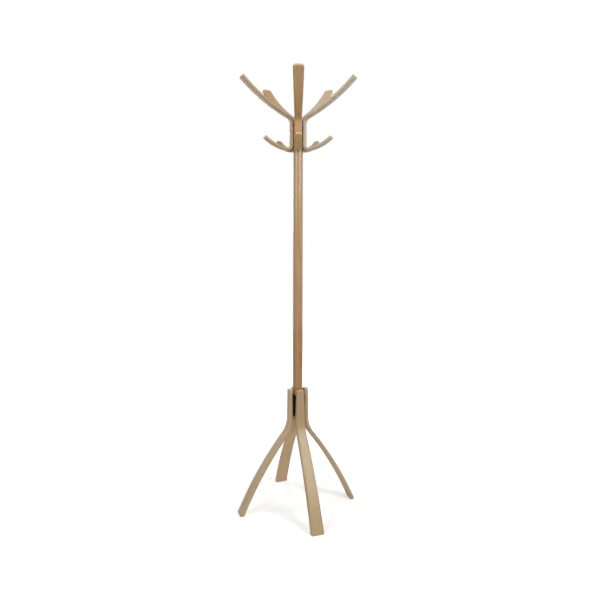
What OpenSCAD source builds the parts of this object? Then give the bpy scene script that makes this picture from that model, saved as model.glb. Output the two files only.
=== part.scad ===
// Standing coat rack in bent and turned wood.
// Five C-shaped hooks stand in a ring round the top of a round pole. Four
// bent legs carry the pole on a black hub. The origin is on the floor, on
// the pole's axis; +Z is up and the front hook points to -Y.

/* [Pole] */
// Diameter of the pole
pole_d = 39; // [37:0.5:43]
// Height of the pole's shoulder above the floor, where it stands on the hub
shoulder_z = 482; // [460:1:520]
// Length of the pole from its shoulder to its top end
pole_length = 1080; // [900:5:1200]
// Chamfer round the pole's top end
pole_chamfer = 2; // [0.5:0.5:4]
// Depth of the flat cut on the pole behind each hook
seat_depth = 0.5; // [0.3:0.1:1]

/* [Hooks] */
// Thickness of a hook's strip
hook_t = 12.5; // [10:0.5:14]
// Width of a hook's strip at the pole
hook_w = 29; // [24:0.5:32]
// Length of a hook's straight back
hook_back = 80; // [60:1:110]
// Distance from the pole's top end down to the end of the straight back
hook_drop = 3; // [0:1:10]
// Gap between two neighbouring hooks where their mitred backs meet
mitre_gap = 0.4; // [0.2:0.1:1]
// Radius of the corners at a hook's tips
tip_corner_r = 9.5; // [4:0.5:11.5]

/* [Upper arms] */
// Radius of the bend into the upper arm, at the middle of the strip
upper_bend_r = 28; // [22:1:40]
// Rise of the upper arm next to its bend, in degrees above level
upper_rise = 26.5; // [18:0.5:34]
// Rise of the upper arm at its tip, in degrees above level
upper_tip_rise = 47; // [40:0.5:60]
// Length of the upper arm past its bend
upper_length = 228; // [180:1:260]
// Width of the upper arm's tip
upper_tip_w = 40.5; // [32:0.5:50]

/* [Lower arms] */
// Radius of the bend into the lower arm, at the middle of the strip
lower_bend_r = 18; // [14:1:26]
// Rise of the lower arm next to its bend, in degrees above level
lower_rise = 10; // [4:0.5:16]
// Rise of the lower arm at its tip, in degrees above level
lower_tip_rise = 42.5; // [36:0.5:55]
// Length of the lower arm past its bend
lower_length = 100; // [75:1:120]
// Width of the lower arm's tip
lower_tip_w = 26; // [24:0.5:34]

/* [Legs] */
// Thickness of a leg's strip
leg_t = 17; // [14:0.5:20]
// Width of a leg at its top end
leg_top_w = 30; // [26:0.5:34]
// Width of a leg at its knee, where the bend begins
leg_knee_w = 39.5; // [34:0.5:42]
// Width of a leg where it meets the floor
foot_w = 53; // [44:0.5:60]
// Height of a leg's top end above the pole's shoulder
leg_lap = 27; // [10:1:40]
// Length of a leg's straight part
leg_straight = 121; // [110:1:150]
// Radius of the knee, at the middle of the strip
knee_r = 117; // [80:1:150]
// Slope of a leg just below its knee, in degrees below level
knee_slope = 52.5; // [48:0.5:60]
// Radius of the long bow of a leg, at the middle of the strip
leg_bow_r = 1480; // [1200:10:2400]
// Radius of the corners at a leg's top end
leg_corner_r = 7.5; // [5:0.5:12]
// Turn of the four legs against the five hooks, in degrees
leg_turn = 18; // [0:1:45]

/* [Hub] */
// Width of the hub across two opposite legs' seats
hub_w = 49; // [46:0.5:56]
// Width of the chamfer on the hub's four upright corners
hub_chamfer = 10; // [6:0.5:12]
// Height of the hub
hub_h = 84; // [76:1:92]

/* [Fasteners] */
// Diameter of the pole's tenon
tenon_d = 24; // [20:0.5:26]
// Length of the pole's tenon
tenon_length = 44; // [36:1:50]
// Clearance round the tenon
tenon_clearance = 0.1; // [0.05:0.05:0.3]
// Room below the tenon in the hub's mortise
mortise_room = 1; // [0.5:0.5:3]
// Diameter of the bolt that pulls the pole down
bolt_d = 8; // [6:1:8]
// Diameter of the bolt's head
bolt_head_d = 13; // [12:0.5:14]
// Height of the bolt's head
bolt_head_h = 8; // [6:0.5:9]
// Width across flats of the socket in the bolt's head
bolt_socket_w = 6; // [4:1:6]
// Depth of the socket in the bolt's head
bolt_socket_depth = 4; // [2:0.5:5]
// Length of the bolt inside the insert
bolt_grip = 24; // [12:1:24]
// Outer diameter of the washer
washer_d = 16; // [15:0.5:17]
// Thickness of the washer
washer_t = 2; // [1:0.5:2.5]
// Diameter of the threaded insert in the pole
insert_d = 12; // [10:0.5:13]
// Length of the threaded insert
insert_length = 25; // [24:1:30]
// Diameter of the recess for the bolt's head
recess_d = 18; // [17.5:0.5:22]
// Depth of the recess for the bolt's head
recess_depth = 12; // [12:0.5:16]
// Clearance of the bolt in the hub and in its washer, on the diameter
bolt_clearance = 1; // [0.4:0.1:1.5]
// Diameter of the dowels behind the hooks
hook_dowel_d = 6; // [5:0.5:7]
// Length of the dowels behind the hooks
hook_dowel_length = 16; // [12:1:18]
// Distance of a dowel from each end of a hook's straight back
hook_dowel_inset = 18; // [10:1:25]
// Diameter of the dowels behind the legs
leg_dowel_d = 8; // [6:0.5:9]
// Length of the dowels behind the legs
leg_dowel_length = 20; // [16:1:21]
// Distance of a dowel from each end of the hub
leg_dowel_inset = 20; // [14:1:28]
// Room left for glue at each end of a dowel
dowel_room = 0.5; // [0.3:0.1:1]

/* [Hidden] */
$fn = 180;

beech = "burlywood";
dowel_beech = "tan";
black = "#1c1c1c";
zinc = "silver";

// How many hooks and legs, and the angle of the first of each about +Z
hook_count = 5;
leg_count = 4;
front = -90;
hook_step = 360 / hook_count;
leg_step = 360 / leg_count;

// How far a cutter reaches past the face that it cuts
over = 1;

// Steps in each arc of a strip's side view; the chords stay within 0.1 mm
arc_steps = 12;

// Heights on the pole's axis
pole_top_z = shoulder_z + pole_length;
tenon_end_z = shoulder_z - tenon_length;
hub_bottom_z = shoulder_z - hub_h;
hook_top_z = pole_top_z - hook_drop;
hook_bottom_z = hook_top_z - hook_back;
hook_mid_z = (hook_top_z + hook_bottom_z) / 2;
leg_top_z = shoulder_z + leg_lap;
knee_z = leg_top_z - leg_straight;

// Distances of the strips' faces and middle lines from the axis
seat_r = pole_d / 2 - seat_depth;
hook_r = seat_r + hook_t / 2;
leg_seat_r = hub_w / 2;
leg_r = leg_seat_r + leg_t / 2;

// The hub's bore for the tenon and the height of the dowels
mortise_d = tenon_d + 2 * tenon_clearance;
hook_dowel_zs = [hook_bottom_z + hook_dowel_inset, hook_top_z - hook_dowel_inset];
leg_dowel_zs = [hub_bottom_z + leg_dowel_inset, shoulder_z - leg_dowel_inset];

// The bolt stands under its washer and ends inside the insert
washer_bottom_z = hub_bottom_z + recess_depth - washer_t;
bolt_tip_z = tenon_end_z + bolt_grip;

// Each strip's middle line is a chain of arcs in a plane of [radius, height].
// A hook's heights count from the middle of its back, and a leg's from the
// floor. An arm's radius follows from its length and its change of direction.
function left_of(a) = [-sin(a), cos(a)];
function arc_r(length, from, to) = length * 180 / (PI * abs(to - from));

// Points of an arc about c, from one angle to another. The last one is left
// out with skip = 1, where the next arc begins with it.
function arc(c, r, from, to, skip = 0) = [
    for (i = [0:arc_steps - skip])
        let (a = from + (to - from) * i / arc_steps)
        c + r * [cos(a), sin(a)]
];

upper_bend_c = [hook_r + upper_bend_r, hook_back / 2];
upper_start = upper_bend_c + upper_bend_r * left_of(upper_rise);
upper_arc_r = arc_r(upper_length, upper_rise, upper_tip_rise);
upper_arc_c = upper_start + upper_arc_r * left_of(upper_rise);
upper_tip = upper_arc_c - upper_arc_r * left_of(upper_tip_rise);

lower_bend_c = [hook_r + lower_bend_r, -hook_back / 2];
lower_start = lower_bend_c - lower_bend_r * left_of(lower_rise);
lower_arc_r = arc_r(lower_length, lower_rise, lower_tip_rise);
lower_arc_c = lower_start + lower_arc_r * left_of(lower_rise);
lower_tip = lower_arc_c - lower_arc_r * left_of(lower_tip_rise);

knee_c = [leg_r + knee_r, knee_z];
knee_end = knee_c - knee_r * left_of(-knee_slope);
bow_c = knee_end - leg_bow_r * left_of(-knee_slope);
foot_r = bow_c[0] + leg_bow_r * cos(floor_angle(leg_bow_r));

// The angle at which an arc of radius r about the bow's centre meets the floor
function floor_angle(r) = asin(-bow_c[1] / r);

// One face of a hook, from its upper tip to its lower tip: d is its distance
// from the middle line, positive on the side of the pole
function hook_face(d) = concat(
    arc(upper_arc_c, upper_arc_r - d, upper_tip_rise - 90, upper_rise - 90, 1),
    arc(upper_bend_c, upper_bend_r + d, 90 + upper_rise, 180),
    arc(lower_bend_c, lower_bend_r + d, 180, 270 + lower_rise, 1),
    arc(lower_arc_c, lower_arc_r + d, 270 + lower_rise, 270 + lower_tip_rise)
);

// One face of a leg, from its top end to the floor: d is its distance from
// the middle line, positive on the outside
function leg_face(d) = concat(
    [[leg_r + d, leg_top_z]],
    arc(knee_c, knee_r - d, 180, 270 - knee_slope, 1),
    arc(bow_c, leg_bow_r + d, 90 - knee_slope, floor_angle(leg_bow_r + d))
);

function reverse(points) = [for (i = [len(points) - 1:-1:0]) points[i]];

// Extrudes a side view in [radius, height] to the full width w
module across(w) {
    rotate([90, 0, 0])
        linear_extrude(height = w, center = true)
            children();
}

// Turns a piece from the +X direction to the place of hook or leg i
module at_hook(i) {
    rotate([0, 0, front + i * hook_step])
        children();
}

module at_leg(i) {
    rotate([0, 0, front + leg_turn + i * leg_step])
        children();
}

// Side view of a hook
module hook_side() {
    polygon(concat(hook_face(-hook_t / 2), reverse(hook_face(hook_t / 2))));
}

// Top view of one end of a hook: mitred at the pole, parallel as far as
// the radius start, and widening from there to tip_w at the radius end
module hook_plan(start, end, tip_w) {
    half_step = hook_step / 2;
    mitre_r = (hook_w / 2 + mitre_gap / 2 / cos(half_step)) / tan(half_step);
    apex_r = mitre_gap / 2 / sin(half_step);
    far = end + 2 * hook_t;
    far_y = hook_w / 2 + (tip_w - hook_w) / 2 * (far - start) / (end - start);
    polygon([
        [apex_r, 0],
        [mitre_r, -hook_w / 2],
        [start, -hook_w / 2],
        [far, -far_y],
        [far, far_y],
        [start, hook_w / 2],
        [mitre_r, hook_w / 2]
    ]);
}

// What a round corner of radius r takes off a square one. The corner is at
// the origin, with the piece to its lower left.
module corner_waste(r) {
    difference() {
        translate([-r, -r])
            square(r + over);
        translate([-r, -r])
            circle(r = r);
    }
}

// Takes both corners off a hook's tip of width w, where the strip rises at
// the given angle
module tip_corners(tip, rise, w) {
    translate([tip[0], 0, tip[1]])
        rotate([0, -rise, 0])
            linear_extrude(height = 2 * hook_t, center = true)
                for (side = [0, 1])
                    mirror([0, side])
                        translate([0, w / 2])
                            corner_waste(tip_corner_r);
}

// Holes for the dowels between radius inner and outer, at the given heights
module dowel_holes(zs, d, inner, outer) {
    for (z = zs)
        translate([inner, 0, z])
            rotate([0, 90, 0])
                cylinder(d = d, h = outer - inner);
}

// One hook, pointing to +X
module hook() {
    reach = hook_back + upper_length + lower_length;
    difference() {
        translate([0, 0, hook_mid_z])
            difference() {
                intersection() {
                    across(2 * upper_tip_w)
                        hook_side();
                    union() {
                        linear_extrude(height = reach)
                            hook_plan(upper_start[0], upper_tip[0], upper_tip_w);
                        translate([0, 0, -reach])
                            linear_extrude(height = reach)
                                hook_plan(lower_start[0], lower_tip[0], lower_tip_w);
                    }
                }
                tip_corners(upper_tip, upper_tip_rise, upper_tip_w);
                tip_corners(lower_tip, lower_tip_rise, lower_tip_w);
            }
        dowel_holes(
            hook_dowel_zs,
            hook_dowel_d,
            seat_r - over,
            seat_r + hook_dowel_length / 2 + dowel_room
        );
    }
}

// Side view of a leg
module leg_side() {
    polygon(concat(leg_face(-leg_t / 2), reverse(leg_face(leg_t / 2))));
}

// Front view of a leg: it tapers from the knee to the round top corners, and
// leaves the width below the knee to the top view
module leg_front_view() {
    clear_z = knee_z - foot_w;
    difference() {
        polygon([
            [-foot_w, 0],
            [foot_w, 0],
            [foot_w, clear_z],
            [leg_knee_w / 2, knee_z],
            [leg_top_w / 2, leg_top_z],
            [-leg_top_w / 2, leg_top_z],
            [-leg_knee_w / 2, knee_z],
            [-foot_w, clear_z]
        ]);
        for (side = [0, 1])
            mirror([side, 0])
                translate([leg_top_w / 2, leg_top_z])
                    corner_waste(leg_corner_r);
    }
}

// Top view of a leg: parallel as far as its straight part reaches, and
// widening from there to the floor
module leg_plan() {
    start = leg_seat_r + leg_t;
    far = foot_r + 2 * leg_t;
    far_y = leg_knee_w / 2 + (foot_w - leg_knee_w) / 2 * (far - start) / (foot_r - start);
    polygon([
        [0, -leg_knee_w / 2],
        [start, -leg_knee_w / 2],
        [far, -far_y],
        [far, far_y],
        [start, leg_knee_w / 2],
        [0, leg_knee_w / 2]
    ]);
}

// One leg, pointing to +X
module leg() {
    difference() {
        intersection() {
            across(2 * foot_w)
                leg_side();
            linear_extrude(height = leg_top_z + over)
                leg_plan();
            rotate([90, 0, 90])
                linear_extrude(height = 2 * foot_r)
                    leg_front_view();
        }
        dowel_holes(
            leg_dowel_zs,
            leg_dowel_d,
            leg_seat_r - over,
            leg_seat_r + leg_dowel_length / 2 + dowel_room
        );
    }
}

module pole() {
    color(beech)
        difference() {
            rotate_extrude()
                polygon([
                    [0, tenon_end_z],
                    [tenon_d / 2, tenon_end_z],
                    [tenon_d / 2, shoulder_z],
                    [pole_d / 2, shoulder_z],
                    [pole_d / 2, pole_top_z - pole_chamfer],
                    [pole_d / 2 - pole_chamfer, pole_top_z],
                    [0, pole_top_z]
                ]);
            for (i = [0:hook_count - 1])
                at_hook(i) {
                    translate([seat_r, -hook_w, hook_bottom_z])
                        cube([pole_d, 2 * hook_w, hook_back + hook_drop + over]);
                    dowel_holes(
                        hook_dowel_zs,
                        hook_dowel_d,
                        seat_r - hook_dowel_length / 2 - dowel_room,
                        pole_d
                    );
                }
            translate([0, 0, tenon_end_z - over])
                cylinder(d = insert_d, h = insert_length + mortise_room + over);
        }
}

module hook_front() {
    color(beech) at_hook(0) hook();
}

module hook_right() {
    color(beech) at_hook(1) hook();
}

module hook_back_right() {
    color(beech) at_hook(2) hook();
}

module hook_back_left() {
    color(beech) at_hook(3) hook();
}

module hook_left() {
    color(beech) at_hook(4) hook();
}

module leg_front() {
    color(beech) at_leg(0) leg();
}

module leg_right() {
    color(beech) at_leg(1) leg();
}

module leg_back() {
    color(beech) at_leg(2) leg();
}

module leg_left() {
    color(beech) at_leg(3) leg();
}

// Outline of the hub from above: a square with its corners cut off
module hub_plan() {
    seat = hub_w / 2 - hub_chamfer;
    polygon([
        for (i = [0:leg_count - 1], side = [-1, 1])
            let (a = i * leg_step)
            hub_w / 2 * [cos(a), sin(a)] + side * seat * [-sin(a), cos(a)]
    ]);
}

module hub() {
    color(black)
        difference() {
            translate([0, 0, hub_bottom_z])
                at_leg(0)
                    linear_extrude(height = hub_h)
                        hub_plan();
            translate([0, 0, tenon_end_z - mortise_room])
                cylinder(d = mortise_d, h = tenon_length + mortise_room + over);
            translate([0, 0, hub_bottom_z - over])
                cylinder(d = recess_d, h = recess_depth + over);
            translate([0, 0, hub_bottom_z])
                cylinder(d = bolt_d + bolt_clearance, h = hub_h);
            for (i = [0:leg_count - 1])
                at_leg(i)
                    dowel_holes(
                        leg_dowel_zs,
                        leg_dowel_d,
                        leg_seat_r - leg_dowel_length / 2 - dowel_room,
                        hub_w
                    );
        }
}

module hook_dowels() {
    color(dowel_beech)
        for (i = [0:hook_count - 1])
            at_hook(i)
                dowel_holes(
                    hook_dowel_zs,
                    hook_dowel_d,
                    seat_r - hook_dowel_length / 2,
                    seat_r + hook_dowel_length / 2
                );
}

module leg_dowels() {
    color(dowel_beech)
        for (i = [0:leg_count - 1])
            at_leg(i)
                dowel_holes(
                    leg_dowel_zs,
                    leg_dowel_d,
                    leg_seat_r - leg_dowel_length / 2,
                    leg_seat_r + leg_dowel_length / 2
                );
}

module pole_bolt() {
    color(zinc)
        difference() {
            union() {
                translate([0, 0, washer_bottom_z - bolt_head_h])
                    cylinder(d = bolt_head_d, h = bolt_head_h);
                translate([0, 0, washer_bottom_z])
                    cylinder(d = bolt_d, h = bolt_tip_z - washer_bottom_z);
            }
            translate([0, 0, washer_bottom_z - bolt_head_h - over])
                cylinder(d = bolt_socket_w / cos(30), h = bolt_socket_depth + over, $fn = 6);
        }
}

module bolt_washer() {
    color(zinc)
        translate([0, 0, washer_bottom_z])
            difference() {
                cylinder(d = washer_d, h = washer_t);
                translate([0, 0, -over])
                    cylinder(d = bolt_d + bolt_clearance, h = washer_t + 2 * over);
            }
}

module pole_insert() {
    color("gold")
        translate([0, 0, tenon_end_z])
            difference() {
                cylinder(d = insert_d, h = insert_length);
                translate([0, 0, -over])
                    cylinder(d = bolt_d, h = insert_length + 2 * over);
            }
}

pole();
hook_front();
hook_right();
hook_back_right();
hook_back_left();
hook_left();
leg_front();
leg_right();
leg_back();
leg_left();
hub();
hook_dowels();
leg_dowels();
pole_bolt();
bolt_washer();
pole_insert();
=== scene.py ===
"""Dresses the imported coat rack: bent and turned beech, a lacquered hub and steel, in a pale studio.

Lengths are in metres and angles in radians, unless a name ends in _deg. Every wooden strip is first
worked out flat, in board coordinates [along, across, through], and then bent along a chain of arcs.
"""

import logging
import math
from collections.abc import Callable
from dataclasses import dataclass, field
from enum import Enum

import bpy
import numpy as np
from mathutils import Matrix, Vector


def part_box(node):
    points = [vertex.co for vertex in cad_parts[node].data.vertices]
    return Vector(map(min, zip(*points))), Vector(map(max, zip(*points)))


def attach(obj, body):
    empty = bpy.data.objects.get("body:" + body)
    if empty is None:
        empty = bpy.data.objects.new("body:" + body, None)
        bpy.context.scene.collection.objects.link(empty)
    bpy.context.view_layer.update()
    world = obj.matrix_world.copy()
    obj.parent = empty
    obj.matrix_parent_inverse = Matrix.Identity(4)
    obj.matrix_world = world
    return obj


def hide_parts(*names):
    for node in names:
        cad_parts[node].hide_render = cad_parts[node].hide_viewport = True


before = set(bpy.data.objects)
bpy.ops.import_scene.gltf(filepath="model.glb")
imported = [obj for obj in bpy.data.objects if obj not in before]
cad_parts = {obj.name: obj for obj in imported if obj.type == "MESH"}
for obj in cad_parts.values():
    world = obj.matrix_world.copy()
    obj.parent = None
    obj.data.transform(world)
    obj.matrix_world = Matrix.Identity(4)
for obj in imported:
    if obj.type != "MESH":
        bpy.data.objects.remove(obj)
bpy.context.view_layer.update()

log = logging.getLogger("coat_rack")

MM = 0.001
BODY = "root"


# ---------------------------------------------------------------- surfaces


@dataclass
class Surface:
    """A mesh as whole arrays.

    points is (n, 3) in metres and faces is (m, 4) of point numbers; a triangle repeats one corner.
    marks holds named values on the points, (n,) or (n, 3), which the finishes read.
    """

    points: np.ndarray
    faces: np.ndarray
    marks: dict[str, np.ndarray] = field(default_factory=dict)

    def welded(self) -> "Surface":
        """Joins points that lie in the same place and drops faces that have lost their area.

        Formula: points are equal when their coordinates, rounded to a micrometre, are equal.

        Returns:
            The welded surface. Points that were joined keep the first one's marks.
        """
        keys = np.round(self.points / (MM / 1000)).astype(np.int64)
        _, first, number = np.unique(keys, axis=0, return_index=True, return_inverse=True)
        faces = number.reshape(-1)[self.faces]
        same = (faces == np.roll(faces, -1, axis=1)).sum(axis=1)
        opposite = (faces[:, 0] == faces[:, 2]) | (faces[:, 1] == faces[:, 3])
        keep = (same < 2) & ~opposite
        marks = {name: values[first] for name, values in self.marks.items()}
        return Surface(self.points[first], faces[keep], marks)

    def facing_out(self) -> "Surface":
        """Turns all faces round if they point inwards.

        Formula: the volume under each face's two triangles, a . (b x c) / 6, adds up to a positive
        number when the faces point outwards.

        Returns:
            The surface with its faces pointing outwards.
        """
        a, b, c, d = (self.points[self.faces[:, k]] for k in range(4))
        volume = (a * np.cross(b, c)).sum() + (a * np.cross(c, d)).sum()
        faces = self.faces if volume > 0 else self.faces[:, ::-1]
        return Surface(self.points, faces, self.marks)

    def moved(self, matrix: Matrix) -> "Surface":
        """Returns a copy with the matrix applied to its points."""
        turn = np.array(matrix.to_3x3())
        return Surface(self.points @ turn.T + np.array(matrix.translation), self.faces, self.marks)


def joined(parts: list[Surface]) -> Surface:
    """Puts several surfaces into one mesh, without welding them to each other.

    Args:
        parts: the surfaces, which all have the same marks.

    Returns:
        One surface with the points, faces and marks of all of them.
    """
    starts = np.cumsum([0] + [len(part.points) for part in parts[:-1]])
    return Surface(
        np.concatenate([part.points for part in parts]),
        np.concatenate([part.faces + start for part, start in zip(parts, starts)]),
        {name: np.concatenate([part.marks[name] for part in parts]) for name in parts[0].marks},
    )


def grid_faces(rows: int, columns: int, wrap: bool = False) -> np.ndarray:
    """Returns the quads of a grid of points that is stored row by row.

    Args:
        rows: how many rows of points there are.
        columns: how many points a row has.
        wrap: whether the last column joins the first one.

    Returns:
        (m, 4), the point numbers of each quad.
    """
    numbers = np.arange(rows * columns).reshape(rows, columns)
    if wrap:
        numbers = np.concatenate([numbers, numbers[:, :1]], axis=1)
    return np.stack(
        [numbers[:-1, :-1], numbers[1:, :-1], numbers[1:, 1:], numbers[:-1, 1:]], axis=-1
    ).reshape(-1, 4)


def lathe(radius: np.ndarray, height: np.ndarray, closed: bool = False) -> Surface:
    """Makes a surface round the Z axis.

    Formula: the point of profile row k at angle t is (r cos t, r sin t, h), with r and h from row k.

    Args:
        radius: (rows, columns), the distance from the axis at each row and angle.
        height: (rows,), the height of each row.
        closed: whether the last row joins the first one, as on a ring.

    Returns:
        The surface, welded and facing outwards.
    """
    rows, columns = radius.shape
    turn = np.linspace(0, 2 * math.pi, columns, endpoint=False)
    points = np.stack(
        [radius * np.cos(turn), radius * np.sin(turn), np.broadcast_to(height[:, None], radius.shape)],
        axis=-1,
    ).reshape(-1, 3)
    faces = grid_faces(rows, columns, wrap=True)
    if closed:
        last, first = np.arange((rows - 1) * columns, rows * columns), np.arange(columns)
        faces = np.concatenate(
            [faces, np.stack([last, first, np.roll(first, -1), np.roll(last, -1)], axis=-1)]
        )
    return Surface(points, faces).welded().facing_out()


def round_over(radius: float, height: float, size: float, top: bool, steps: int = 5) -> np.ndarray:
    """Returns a quarter round from a side to a level end, as rows of [radius, height].

    Formula: at angle a from 0 to 90 degrees the row is inset by size (1 - cos a) and stands
    size sin a past the start of the round.

    Args:
        radius: radius of the side.
        height: height of the end.
        size: radius of the round.
        top: whether the end is above the side; the rows then run upwards.
        steps: pieces of the quarter.

    Returns:
        (steps + 1, 2), the rows.
    """
    angle = np.linspace(0, math.pi / 2, steps + 1)
    past = height + (size * np.sin(angle) - size) * (1 if top else -1)
    rows = np.stack([radius - size * (1 - np.cos(angle)), past], axis=-1)
    return rows if top else rows[::-1]


# ------------------------------------------------------------------- paths


class BentPath:
    """A chain of arcs in the upright plane of [radius, height].

    Formula: over a length L that turns by t, the place moves by the chord L sinc(t / 2), in the
    direction half-way between the headings at both ends. With t = 0 it is a straight line.
    """

    def __init__(self, heading_deg: float, arcs: list[tuple[float, float]]) -> None:
        """Lays the chain from [0, 0].

        Args:
            heading_deg: the heading at its start, in degrees above level, away from the axis.
            arcs: the length of each stretch and the degrees that it turns to the left.
        """
        self.lengths = np.array([length for length, _ in arcs])
        self.turns = np.radians([turn for _, turn in arcs])
        self.starts = np.concatenate([[0], np.cumsum(self.lengths)])
        self.headings = math.radians(heading_deg) + np.concatenate([[0], np.cumsum(self.turns)])
        steps = self._chord(self.headings[:-1], self.lengths, self.turns)
        self.places = np.concatenate([[[0, 0]], np.cumsum(steps, axis=0)])

    @staticmethod
    def _chord(heading: np.ndarray, length: np.ndarray, turn: np.ndarray) -> np.ndarray:
        """Works out chords of arcs, by the formula above.

        Args:
            heading: the heading at each arc's start.
            length: the length of each arc.
            turn: how far each arc turns to the left.

        Returns:
            (..., 2), the move in radius and height along each arc.
        """
        middle = heading + turn / 2
        chord = length * np.sinc(turn / (2 * math.pi))
        return np.stack([chord * np.cos(middle), chord * np.sin(middle)], axis=-1)

    def at(self, along: np.ndarray, off: np.ndarray) -> tuple[np.ndarray, np.ndarray]:
        """Finds places beside the path.

        Args:
            along: lengths along the path.
            off: distances to its left.

        Returns:
            The radius and the height of each place.
        """
        k = np.clip(np.searchsorted(self.starts, along, side="right") - 1, 0, len(self.lengths) - 1)
        run = along - self.starts[k]
        turn = self.turns[k] * run / self.lengths[k]
        place = self.places[k] + self._chord(self.headings[k], run, turn)
        heading = self.headings[k] + turn
        return place[..., 0] - off * np.sin(heading), place[..., 1] + off * np.cos(heading)

    def stations(self, first: float, last: float) -> np.ndarray:
        """Divides the path, closely in its tight bends and widely on its long arcs.

        Args:
            first: length along the path of the first station.
            last: length along the path of the last one.

        Returns:
            The lengths along the path of all stations.
        """
        most_turn, most_length, room = math.radians(4), 20 * MM, 2 * MM
        counts = np.ceil(
            np.maximum(np.abs(self.turns) / most_turn, self.lengths / most_length)
        ).astype(int)
        inner = np.concatenate(
            [
                start + length * np.arange(count) / count
                for start, length, count in zip(self.starts, self.lengths, counts)
            ]
        )
        inner = inner[(inner > first + room) & (inner < last - room)]
        return np.concatenate([[first], inner, [last]])


@dataclass(frozen=True)
class BoardEnd:
    """How a flat board ends: the radius of its corners and of the arris round its end.

    Its methods return rows of the board's plan outline. A row holds the length along the board,
    the distance across it, the two parts of the outward normal, and the radius of the arris there.
    """

    corner: float
    arris: float

    def round_corner(
        self, at: float, half: float, out: int, side_arris: float, steps: int
    ) -> np.ndarray:
        """Goes round one corner, from the end face to the long side.

        Formula: with the corner's radius r, the row at angle t from 0 to 90 degrees lies at
        [at + out r cos t, half - r + r sin t] and has the normal [out cos t, sin t]. The arris
        changes evenly from the end's to the side's.

        Args:
            at: length along the board at which the corner meets the long side.
            half: half the board's width there.
            out: -1 at the board's start and 1 at its other end.
            side_arris: radius of the arris on the long side.
            steps: pieces of the corner.

        Returns:
            (steps, 5), the rows, without the one at 90 degrees.
        """
        turn = np.linspace(0, math.pi / 2, steps + 1)[:-1]
        cos, sin = np.cos(turn), np.sin(turn)
        arris = self.arris + (side_arris - self.arris) * (turn / (math.pi / 2))
        across = half - self.corner + self.corner * sin
        return np.stack([at + out * self.corner * cos, across, out * cos, sin, arris], axis=-1)

    def across_end(self, at: float, half: float, out: int, shares: np.ndarray) -> np.ndarray:
        """Goes across the end face, between its two corners.

        Args:
            at, half, out: as for round_corner.
            shares: where the rows lie, from -1 at one corner to 1 at the other.

        Returns:
            (n, 5), the rows.
        """
        ones = np.ones_like(shares)
        along, across = (at + out * self.corner) * ones, (half - self.corner) * shares
        return np.stack([along, across, out * ones, 0 * ones, self.arris * ones], axis=-1)


def rounded_board(
    stations: np.ndarray,
    half_width: Callable[[np.ndarray], np.ndarray],
    thickness: float,
    arris: float,
    ends: tuple[BoardEnd, BoardEnd],
) -> Surface:
    """Makes a flat board with round corners and rounded edges, in board coordinates.

    Formula: its rim is the plan outline q with outward normal n, carried round a half-round
    profile: the row at angle a is q - n e (1 - cos a), at height h / 2 - e + e sin a, with e the
    arris there and h the thickness. Both faces are grids between the rim's inner outlines.

    Args:
        stations: lengths along the board from one end's corners to the other's.
        half_width: gives half the board's width at a length along it.
        thickness: thickness of the board.
        arris: radius of the long edges.
        ends: the board's two ends.

    Returns:
        The board, with the marks grain, its own coordinates, arris, 1 on the middle of a rounded
        edge and falling off to both sides of it, and end_grain, 1 on a cut end.
    """
    corner_steps, arris_steps = 6, 5
    across = np.array([-1, -0.84, -0.6, -0.2, 0.2, 0.6, 0.84, 1])
    first, last = ends

    # The plan outline: a long side with its two corners, the far end, the other side, the near end.
    half = half_width(stations)
    slope = np.gradient(half, stations)
    scale = np.hypot(1, slope)
    straight = np.stack(
        [stations, half, -slope / scale, 1 / scale, np.full_like(stations, arris)], axis=-1
    )
    near, far = (stations[0], half[0], -1), (stations[-1], half[-1], 1)
    side = np.concatenate(
        [
            first.round_corner(*near, arris, corner_steps),
            straight,
            last.round_corner(*far, arris, corner_steps)[::-1],
        ]
    )
    outline = np.concatenate(
        [
            side,
            last.across_end(*far, across[1:-1])[::-1],
            side[::-1] * np.array([1, -1, 1, -1, 1]),
            first.across_end(*near, across[1:-1]),
        ]
    )
    along, aside, normal_along, normal_across, edge = outline.T

    # The rim: its rows follow the half-round profile from one face to the other.
    quarter = np.linspace(math.pi / 2, 0, arris_steps + 1)
    angle = np.concatenate([quarter, [0, 0], -quarter[::-1]])[:, None]
    level = np.concatenate([np.ones_like(quarter), [0.5, -0.5], -np.ones_like(quarter)])[:, None]
    inset = edge * (1 - np.cos(angle))
    rim = np.stack(
        [
            along - normal_along * inset,
            aside - normal_across * inset,
            (thickness / 2 - edge) * level + edge * np.sin(angle),
        ],
        axis=-1,
    )
    # The arris mark sets how much painted edge shade the finish lays on: most half-way round an edge,
    # some on the faces and sides beside it.
    on_face, on_rim, on_side, end_falloff = 0.55, 0.44, 0.3, 4
    base = np.where(np.abs(level) < 1, on_side, np.where(angle == 0, on_rim, on_face))
    rim_arris = np.broadcast_to(base + (1 - base) * np.abs(np.sin(2 * angle)), rim.shape[:2])
    rim_end = np.abs(normal_along) ** end_falloff * np.cos(angle)

    # The two faces: rows across the board, between the rim's first or last row on both sides.
    parts = [(rim, grid_faces(*rim.shape[:2], wrap=True), rim_arris, rim_end)]
    spread = np.stack([np.ones_like(across), across, np.ones_like(across)], axis=-1)
    for row in (0, -1):
        face = rim[row, : len(side)][:, None, :] * spread
        shape = face.shape[:2]
        faces = grid_faces(*shape)
        face_arris = np.broadcast_to(np.where(np.abs(across) == 1, on_face, 0), shape)
        parts.append((face, faces if row else faces[:, ::-1], face_arris, np.zeros(shape)))
    pieces = []
    for points, faces, on_arris, on_end in parts:
        flat = points.reshape(-1, 3)
        marks = {"grain": flat, "arris": on_arris.reshape(-1), "end_grain": on_end.reshape(-1)}
        pieces.append(Surface(flat, faces, marks))
    return joined(pieces).welded()


# ---------------------------------------------------------------- finishes


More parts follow.
